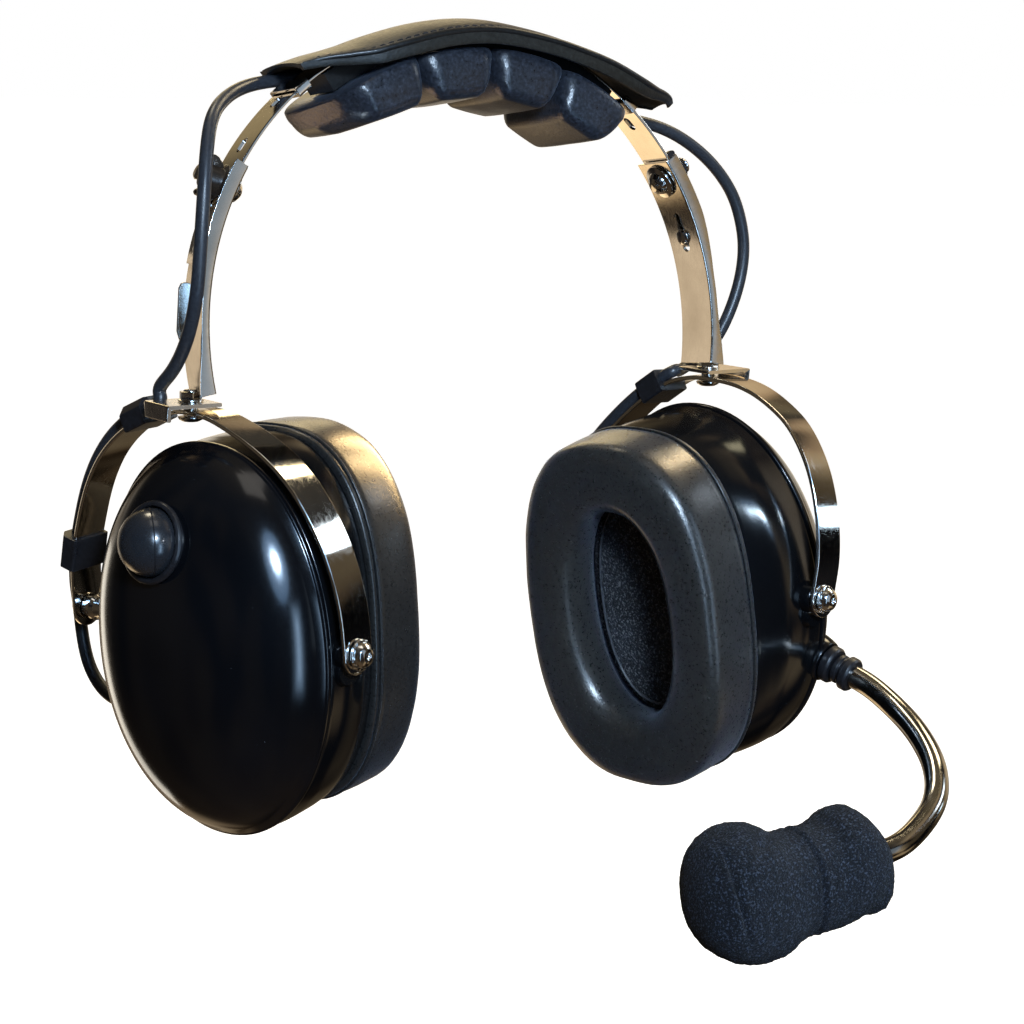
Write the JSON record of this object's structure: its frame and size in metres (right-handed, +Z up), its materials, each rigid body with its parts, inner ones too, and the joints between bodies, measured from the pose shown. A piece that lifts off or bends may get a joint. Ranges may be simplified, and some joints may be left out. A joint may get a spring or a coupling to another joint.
{
  "type": "aviation headset",
  "caption": "Over-ear aviation headset with a sprung headband, sliding arms, swivelling yokes, tilting ear cups, a push button and a swivelling microphone boom.",
  "frame": {"origin": "midpoint between the two ear-cup pivot axes, which is the middle of the wearer's head at ear height", "axes": "+X towards the cup with the microphone boom, -Y towards the wearer's face, +Z up along the yoke swivels"},
  "size_m": [0.2113, 0.1676, 0.2329],
  "materials": {
    "chrome": "polished",
    "steel": "polished",
    "gloss_black": "gloss",
    "cup_base": "satin",
    "black_plastic": "satin",
    "seal_leatherette": "matte",
    "cover_leather": "satin",
    "pad_leatherette": "matte",
    "acoustic_foam": "matte",
    "cable_rubber": "satin",
    "boom_metal": "polished",
    "windscreen_foam": "matte",
    "speaker_metal": "satin"
  },
  "bodies": {
    "headband": {"headband_spring": "chrome", "head_cover": "cover_leather", "head_pad": "pad_leatherette", "pad_core": "acoustic_foam", "cover_clip_left": "chrome", "cover_clip_right": "chrome", "guide_pin_left": "steel", "guide_pin_right": "steel", "cable_center": "cable_rubber"},
    "arm_left": {"arm_left": "steel", "clamp_screw_left": "chrome", "swivel_rivet_left": "chrome"},
    "wing_nut_left": {"wing_nut_left": "black_plastic"},
    "yoke_left": {"yoke_left": "chrome", "cable_clip_upper_left": "black_plastic", "cable_clip_lower_left": "black_plastic", "cable_yoke_left": "cable_rubber", "cable_span_left": "cable_rubber"},
    "cup_left": {"cup_shell_left": "gloss_black", "cup_base_left": "cup_base", "seal_plate_left": "black_plastic", "ear_seal_left": "seal_leatherette", "ear_foam_left": "acoustic_foam", "speaker_left": "speaker_metal", "pivot_screw_front_left": "chrome", "pivot_screw_rear_left": "chrome", "pivot_spacer_left": "chrome", "cup_screw_left": "chrome", "cable_gland_left": "black_plastic", "cable_loop_left": "cable_rubber", "button_bezel": "black_plastic", "button_switch": "black_plastic"},
    "arm_right": {"arm_right": "steel", "clamp_screw_right": "chrome", "swivel_rivet_right": "chrome"},
    "wing_nut_right": {"wing_nut_right": "black_plastic"},
    "yoke_right": {"yoke_right": "chrome", "cable_clip_upper_right": "black_plastic", "cable_clip_lower_right": "black_plastic", "cable_yoke_right": "cable_rubber", "cable_span_right": "cable_rubber"},
    "cup_right": {"cup_shell_right": "gloss_black", "cup_base_right": "cup_base", "seal_plate_right": "black_plastic", "ear_seal_right": "seal_leatherette", "ear_foam_right": "acoustic_foam", "speaker_right": "speaker_metal", "pivot_screw_front_right": "chrome", "pivot_screw_rear_right": "chrome", "pivot_spacer_right": "chrome", "cup_screw_right": "chrome", "cable_gland_right": "black_plastic", "cable_loop_right": "cable_rubber", "lead_inlet": "black_plastic", "boom_gland": "black_plastic"},
    "push_button": {"push_button": "gloss_black"},
    "boom": {"boom_collar": "black_plastic", "boom_tube": "boom_metal", "mic_capsule": "black_plastic", "windscreen": "windscreen_foam"}
  },
  "joints": [
    {"name": "arm_left_slide", "type": "hinge", "parent": "headband", "child": "arm_left", "pos_m": [0, 0.00165, 0.07342], "axis": [0, -0.995, 0.0998], "range_deg": [-1, 4]},
    {"name": "wing_nut_left_turn", "type": "hinge", "parent": "arm_left", "child": "wing_nut_left", "pos_m": [-0.06916, 0.0056, 0.11283], "axis": [-0.8678, 0.0496, 0.4945], "range_deg": [0, 360]},
    {"name": "yoke_left_swivel", "type": "hinge", "parent": "arm_left", "child": "yoke_left", "pos_m": [-0.0812, 0, 0.057], "axis": [0, 0, 1], "range_deg": [-43.8, 4.1], "deforming": ["cable_span_left"]},
    {"name": "cup_left_tilt", "type": "hinge", "parent": "yoke_left", "child": "cup_left", "pos_m": [-0.07359, 0.00177, 0], "axis": [0.3394, -0.9406, 0], "range_deg": [-22.3, 15.6], "deforming": ["cable_loop_left"]},
    {"name": "arm_right_slide", "type": "hinge", "parent": "headband", "child": "arm_right", "pos_m": [0, 0.00165, 0.07342], "axis": [0, 0.995, -0.0998], "range_deg": [-1, 4]},
    {"name": "wing_nut_right_turn", "type": "hinge", "parent": "arm_right", "child": "wing_nut_right", "pos_m": [0.06916, 0.0056, 0.11283], "axis": [0.8678, 0.0496, 0.4945], "range_deg": [0, 360]},
    {"name": "yoke_right_swivel", "type": "hinge", "parent": "arm_right", "child": "yoke_right", "pos_m": [0.0812, 0, 0.057], "axis": [0, 0, 1], "range_deg": [-39.7, 8.2], "deforming": ["cable_span_right"]},
    {"name": "cup_right_tilt", "type": "hinge", "parent": "yoke_right", "child": "cup_right", "pos_m": [0.07348, -0.00142, 0], "axis": [0.2718, -0.9624, 0], "range_deg": [-29.8, 8.2], "deforming": ["cable_loop_right"]},
    {"name": "push_button_press", "type": "slide", "parent": "cup_left", "child": "push_button", "axis": [0.9354, 0.2888, -0.2039], "range_m": [0, 0.0015], "stiffness_N_per_m": 800, "springref_m": -0.0005},
    {"name": "boom_swivel", "type": "hinge", "parent": "cup_right", "child": "boom", "pos_m": [0.09713, -0.03682, -0.0208], "axis": [0.3152, -0.8961, -0.3124], "range_deg": [-120, 60]}
  ]
}
